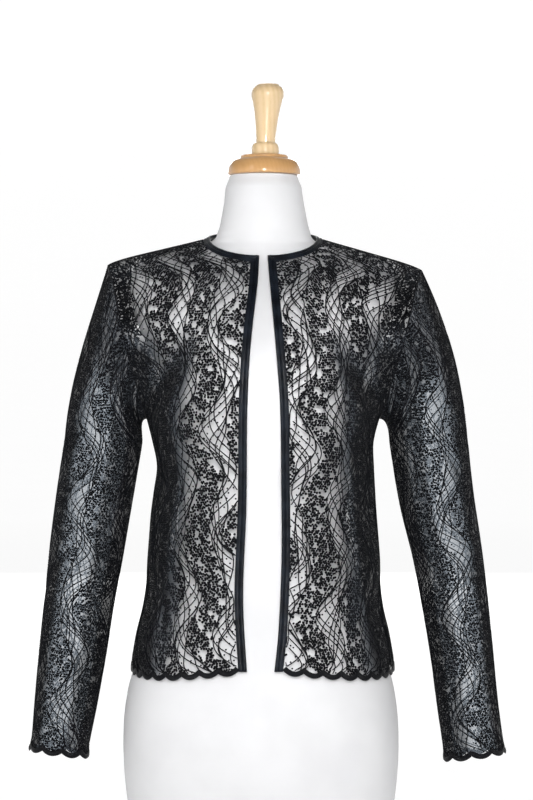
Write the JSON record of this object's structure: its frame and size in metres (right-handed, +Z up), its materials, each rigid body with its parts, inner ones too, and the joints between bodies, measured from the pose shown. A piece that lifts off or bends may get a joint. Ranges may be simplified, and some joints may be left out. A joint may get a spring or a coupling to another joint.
{
  "type": "lace jacket on a limbless dress form",
  "caption": "Black corded-lace jacket, collarless and open down the front, with satin-bound edges and scalloped hem and cuffs, on a white dress form with a wooden neck cap",
  "frame": {"origin": "the centre of the dress form's flat underside, on the surface it stands on", "axes": "+X to the wearer's left, +Y to the back, +Z up; the front opening faces -Y"},
  "size_m": [0.5618, 0.2634, 0.92],
  "materials": {
    "black_lace": "corded embroidery on a sheer net, soft sheen",
    "black_satin": "folded satin binding, low sheen",
    "white_jersey": "matt stretched jersey",
    "honey_wood": "turned and varnished",
    "maple_wood": "turned and varnished"
  },
  "bodies": {
    "root": {"front_right": "black_lace", "front_left": "black_lace", "back": "black_lace", "sleeve_right": "black_lace", "sleeve_left": "black_lace", "hem_scallops_front_right": "black_lace", "hem_scallops_front_left": "black_lace", "hem_scallops_back": "black_lace", "cuff_scallops_right": "black_lace", "cuff_scallops_left": "black_lace", "binding_front_right": "black_satin", "binding_front_left": "black_satin", "binding_neck": "black_satin", "form_torso": "white_jersey", "neck_cap": "honey_wood", "finial_ring": "honey_wood", "finial": "maple_wood"}
  },
  "joints": []
}
